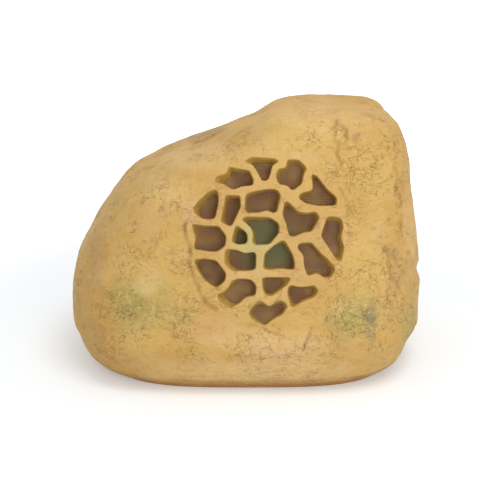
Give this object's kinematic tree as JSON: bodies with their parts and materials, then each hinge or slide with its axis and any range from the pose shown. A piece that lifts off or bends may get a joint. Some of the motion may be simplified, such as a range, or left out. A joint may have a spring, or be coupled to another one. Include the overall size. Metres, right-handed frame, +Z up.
{
  "type": "rock-shaped garden speaker",
  "caption": "Hollow cast rock with a leaning front and a web of pebble-shaped openings, closed by a base plate, holding a cone loudspeaker behind a wire mesh.",
  "frame": {"origin": "centre of the bounding box on the ground, under the rim", "axes": "+Z up, front with the web towards -Y, +X to the right seen from the front"},
  "size_m": [0.356, 0.28, 0.268],
  "materials": {
    "rock_resin": "matt, mottled",
    "mesh_wire": "matt",
    "foam": "matt",
    "basket_steel": "satin",
    "screw_steel": "satin",
    "surround_rubber": "satin",
    "cone_paper": "matt",
    "cap_paper": "matt",
    "coil_copper": "satin",
    "spider_cloth": "matt",
    "motor_steel": "satin",
    "ferrite": "matt",
    "tag_brass": "satin",
    "base_plastic": "matt",
    "seal_rubber": "matt",
    "board": "satin",
    "capacitor_case": "gloss",
    "inductor_copper": "satin",
    "resistor_cement": "matt",
    "block_plastic": "satin",
    "lead_sleeve": "satin",
    "gland_plastic": "satin"
  },
  "bodies": {
    "cabinet": {"rock_shell": "rock_resin", "grille_mesh": "mesh_wire", "driver_gasket": "foam", "driver_basket": "basket_steel", "driver_screws": "screw_steel", "surround": "surround_rubber", "spider": "spider_cloth", "top_plate": "motor_steel", "magnet": "ferrite", "yoke": "motor_steel", "terminal_strip": "tag_brass", "base_plate": "base_plastic", "base_gasket": "seal_rubber", "base_screws": "screw_steel", "crossover_board": "board", "capacitor": "capacitor_case", "inductor": "inductor_copper", "resistor": "resistor_cement", "terminal_block": "block_plastic", "twin_lead": "lead_sleeve", "cable_gland": "gland_plastic", "gland_nut": "gland_plastic"},
    "cone_assembly": {"cone": "cone_paper", "dust_cap": "cap_paper", "voice_coil": "coil_copper"}
  },
  "joints": [
    {"name": "cone_stroke", "type": "slide", "parent": "cabinet", "child": "cone_assembly", "axis": [0, -0.9511, 0.309], "range_m": [-0.003, 0.003], "stiffness_N_per_m": 1400, "deforming": ["surround", "spider"]}
  ]
}
